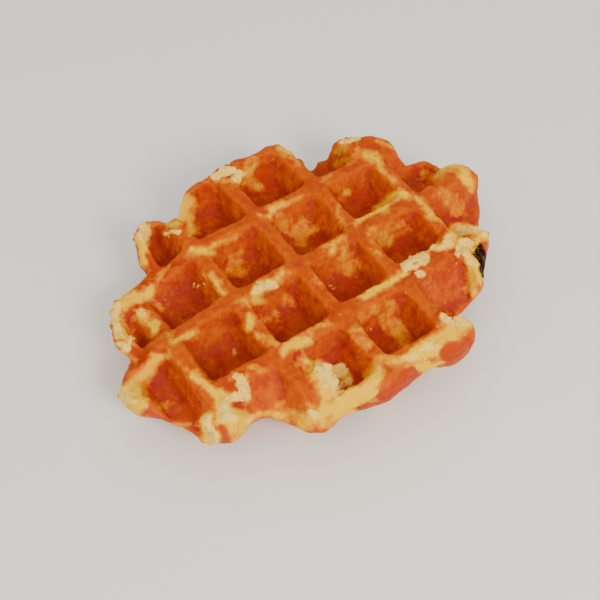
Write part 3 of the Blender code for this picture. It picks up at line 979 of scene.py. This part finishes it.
def crust_colour(build, runs):
    """The crust colour: red and orange blotches, runs of caramel, painted shade on pocket floors,
    rib tops and corners, darker sides partly by painted shade, and edges brighter partly by a
    painted highlight.
    """
    side = build.mark("side")
    depth = build.mark("depth")
    ridge = build.mark("ridge")
    inside = build.maths("SUBTRACT", 1.0, side)
    colour = build.mix(build.span(build.pattern(BLOTCH_WIDTH), *BLOTCHES), RED_BAKE, ORANGE_BAKE)
    layers = (
        (build.span(runs, *AMBER_RUNS), AMBER_BAKE),
        (build.span(runs, *DARK_RUNS), DARK_BAKE_AND_SHADE),
        # painted shade: deep pocket floors darker
        (build.maths("MULTIPLY", build.span(depth, *POCKET_FLOORS), inside), DARK_BAKE_AND_SHADE),
        # outer sides deep red: partly crust, partly painted shade
        (build.maths("MULTIPLY", side, SIDE_SHARE), SIDE_CRUST_AND_SHADE),
        # painted shade: rib tops darker
        (build.span(depth, *RIB_TOPS), RIB_TOP_SHADE),
        # convex edges brighter: partly thinner crust, partly a painted highlight
        (build.span(ridge, *BRIGHT_EDGES), AMBER_BAKE),
        # painted shade: concave corners darker
        (build.span(ridge, *DARK_CORNERS), DARK_BAKE_AND_SHADE),
    )
    for share, shade in layers:
        colour = build.mix(share, colour, shade)
    return colour


def bare_dough(build, runs, blobs):
    """How bare the dough is: the marked patches, and places by chance on the sides."""
    deeper = build.maths("MULTIPLY", build.mark("depth"), BARE_DEPTH)
    bare = build.span(build.maths("ADD", build.pattern(BARE_WIDTH), deeper), *BARE_PLACES)
    dough = build.maths("MULTIPLY", build.maths("MULTIPLY", build.mark("side"), bare), BARE_SHARE)
    parts = (
        build.maths("MULTIPLY", build.mark("dough"), DOUGH_SHARE),
        build.maths("MULTIPLY", build.mark("crumbly"), CRUMBLY_SHARE),
        build.span(build.pattern(MOTTLE_WIDTH), *MOTTLES),
        build.span(blobs, *MOTTLES),
        build.span(runs, *DOUGH_RUNS),
    )
    for added in parts:
        dough = build.maths("ADD", dough, added)
    return build.maths("MULTIPLY", dough, build.span(build.mark("red"), *RED_OVER_DOUGH))


def crust_material():
    """Baked crust, with bare dough, cream crumb and scorched places where they are marked."""
    build = Finish("baked_crust")
    upright = build.add("ShaderNodeMapping", {"Vector": build.place, "Scale": RUN_STRETCH})
    per_run = 1 / (RUN_WIDTH * MM)
    runs = build.noise(upright.outputs[0], per_run, detail=4.0, roughness=0.65).outputs[0]
    blobs = build.pattern(BLOB_WIDTH, detail=2.0)
    dough = bare_dough(build, runs, blobs)
    cream = build.patch("cream", *CREAM_EDGE)
    crumb = build.mix(build.pattern(CREAM_WIDTH), CRUMB_GOLD, CRUMB_CREAM)
    colour = crust_colour(build, runs)
    layers = (
        (build.span(dough, *DOUGH_SHOWS), build.tones(dough, DOUGH_TONES)),
        (build.maths("MULTIPLY", build.patch("red", *RED_EDGE), RED_SHARE), RED_BAKE),
        (cream, crumb),
        (build.patch("scorch", *SCORCH_EDGE), SCORCHED),
    )
    for share, shade in layers:
        colour = build.mix(share, colour, shade)
    build.join(colour, build.surface.inputs["Base Color"])
    pale = build.maths("MAXIMUM", cream, build.span(dough, *DULL_DOUGH))
    values = {0: pale, 2: build.span(blobs, *CRUST_GLOSS), 3: DULL}
    rough = build.add("ShaderNodeMix", values, data_type="FLOAT")
    build.join(rough.outputs[0], build.surface.inputs["Roughness"])
    build.set_surface(CRUST_SURFACE)
    fine = build.pattern(FINE_GRAIN_WIDTH, detail=4.0, roughness=0.6)
    coarse = build.pattern(COARSE_GRAIN_WIDTH, detail=2.0)
    grain = build.maths("ADD", fine, build.maths("MULTIPLY", coarse, COARSE_GRAIN_SHARE))
    build.bump(grain, *CRUST_BUMP)
    return build.material


def crumb_material():
    """Soft cream crumb."""
    build = Finish("cream_crumb")
    fine = build.pattern(CRUMB_WIDTH, detail=3.0, roughness=0.5)
    build.join(build.tones(fine, CRUMB_TONES), build.surface.inputs["Base Color"])
    build.set_surface(CRUMB_SURFACE)
    build.bump(fine, *CRUMB_BUMP)
    return build.material


def sugar_material():
    """Pearl sugar, browned in the iron."""
    build = Finish("pearl_sugar")
    fine = build.pattern(SUGAR_WIDTH, detail=2.0, roughness=0.5)
    build.join(build.tones(fine, SUGAR_TONES), build.surface.inputs["Base Color"])
    build.set_surface(SUGAR_SURFACE)
    return build.material


def main():
    add_camera()
    add_floor()
    for light in LIGHTS:
        add_light(*light)
    add_sky()
    waffle = baked_waffle(crust_material())
    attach(waffle, "root")
    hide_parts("waffle")
    crumb = crumb_grains(waffle, crumb_material())
    sugar = pearl_sugar(waffle, sugar_material())
    for piece in (crumb, sugar):
        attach(piece, "root")


main()
